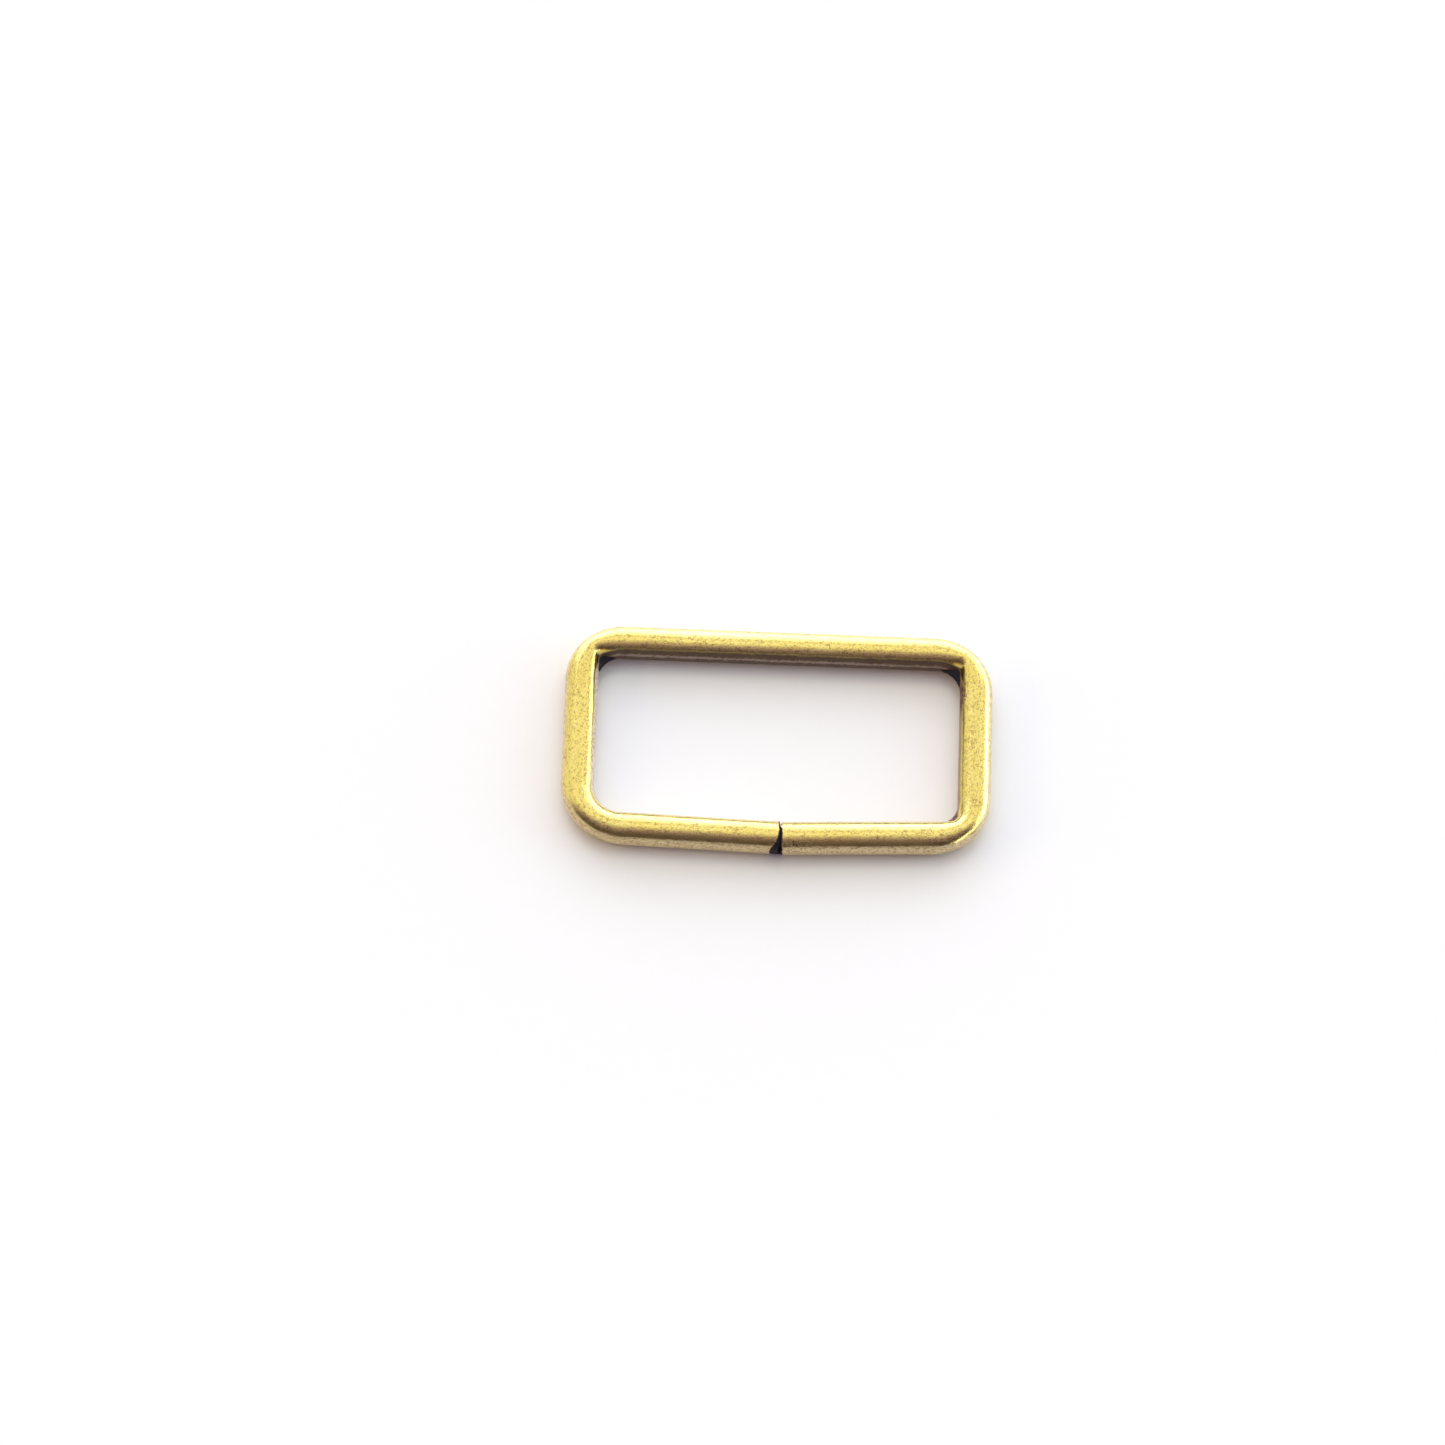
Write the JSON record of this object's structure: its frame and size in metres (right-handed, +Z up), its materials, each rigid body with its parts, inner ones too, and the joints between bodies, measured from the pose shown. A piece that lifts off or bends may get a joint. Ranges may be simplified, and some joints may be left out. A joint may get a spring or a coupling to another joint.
{
  "type": "rectangular wire keeper loop",
  "caption": "Rectangular strap keeper loop bent from round wire, with the wire's cut ends meeting in the front bar. Antique brass finish.",
  "frame": {"origin": "centre of the loop's outer box, on the surface that it lies on", "axes": "+X along the long bars to the right, +Y from the split front bar to the closed back bar, +Z up through the opening"},
  "size_m": [0.03, 0.017, 0.0023],
  "materials": {
    "antique_brass": "antique"
  },
  "bodies": {
    "root": {"wire_loop": "antique_brass"}
  },
  "joints": []
}
